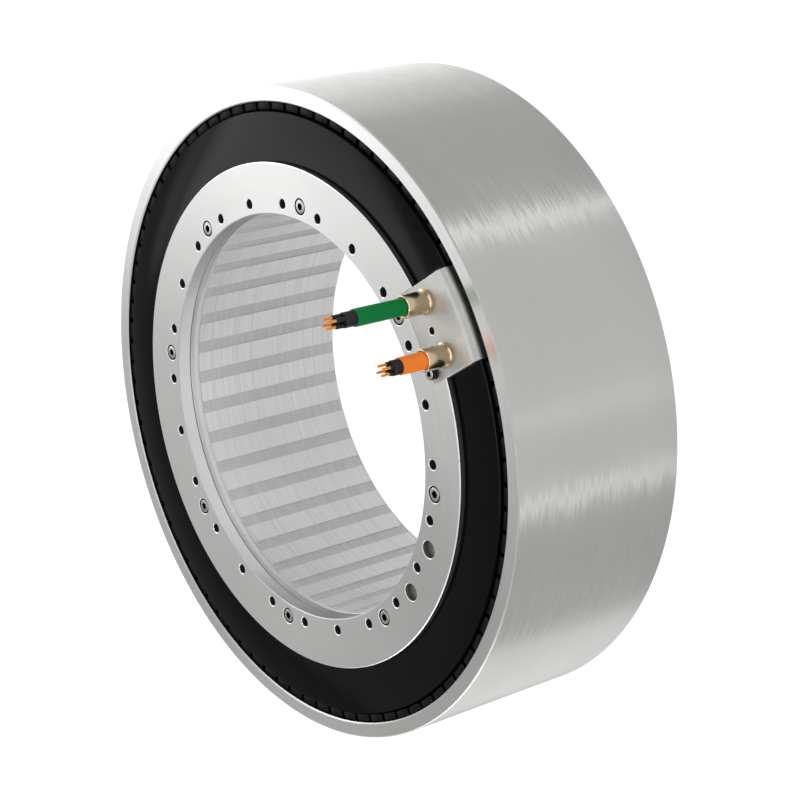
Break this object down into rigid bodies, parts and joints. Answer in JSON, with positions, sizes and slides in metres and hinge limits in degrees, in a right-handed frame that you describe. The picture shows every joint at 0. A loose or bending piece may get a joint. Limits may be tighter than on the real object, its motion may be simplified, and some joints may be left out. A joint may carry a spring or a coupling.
{
  "type": "frameless motor",
  "caption": "Frameless direct-drive motor: magnet-lined steel ring turning round a potted stator, bright flange with a wide grooved bore, cable block with two short stripped cables.",
  "frame": {"origin": "centre of the rear face, on the motor's axis", "axes": "+Z along the motor's axis to the cable side, +X from the axis to the cable block"},
  "size_m": [0.3849, 0.385, 0.1871],
  "materials": {
    "rotor_steel": "turned and brushed round the ring",
    "magnet_coating": "dark coated magnet, satin",
    "bright_aluminium": "fine turned, satin",
    "carrier_aluminium": "bored, fine lines round the bore",
    "core_steel": "stacked electrical sheet",
    "winding_copper": "enamelled copper wire",
    "black_resin": "cast epoxy resin, half gloss",
    "block_aluminium": "milled, satin",
    "screw_steel": "rolled and plated",
    "gland_brass": "turned brass",
    "green_jacket": "extruded cable jacket",
    "orange_jacket": "extruded cable jacket",
    "black_sheath": "extruded inner sheath",
    "core_insulation": "extruded core insulation",
    "conductor_copper": "bare copper"
  },
  "bodies": {
    "stator": {"front_flange": "bright_aluminium", "flange_screws": "screw_steel", "stator_carrier": "carrier_aluminium", "lamination_core": "core_steel", "winding_coils": "winding_copper", "front_potting": "black_resin", "rear_potting": "black_resin", "cable_block": "block_aluminium", "block_screws": "screw_steel", "signal_gland": "gland_brass", "signal_jacket": "green_jacket", "signal_inner_sheath": "black_sheath", "signal_cores": "core_insulation", "signal_conductors": "conductor_copper", "power_gland": "gland_brass", "power_jacket": "orange_jacket", "power_inner_sheath": "black_sheath", "power_cores": "core_insulation", "power_conductors": "conductor_copper"},
    "rotor": {"rotor_ring": "rotor_steel", "rotor_magnets": "magnet_coating"}
  },
  "joints": [
    {"name": "rotor_spin", "type": "hinge", "parent": "stator", "child": "rotor", "pos_m": [0, 0, 0], "axis": [0, 0, 1], "continuous": true}
  ]
}
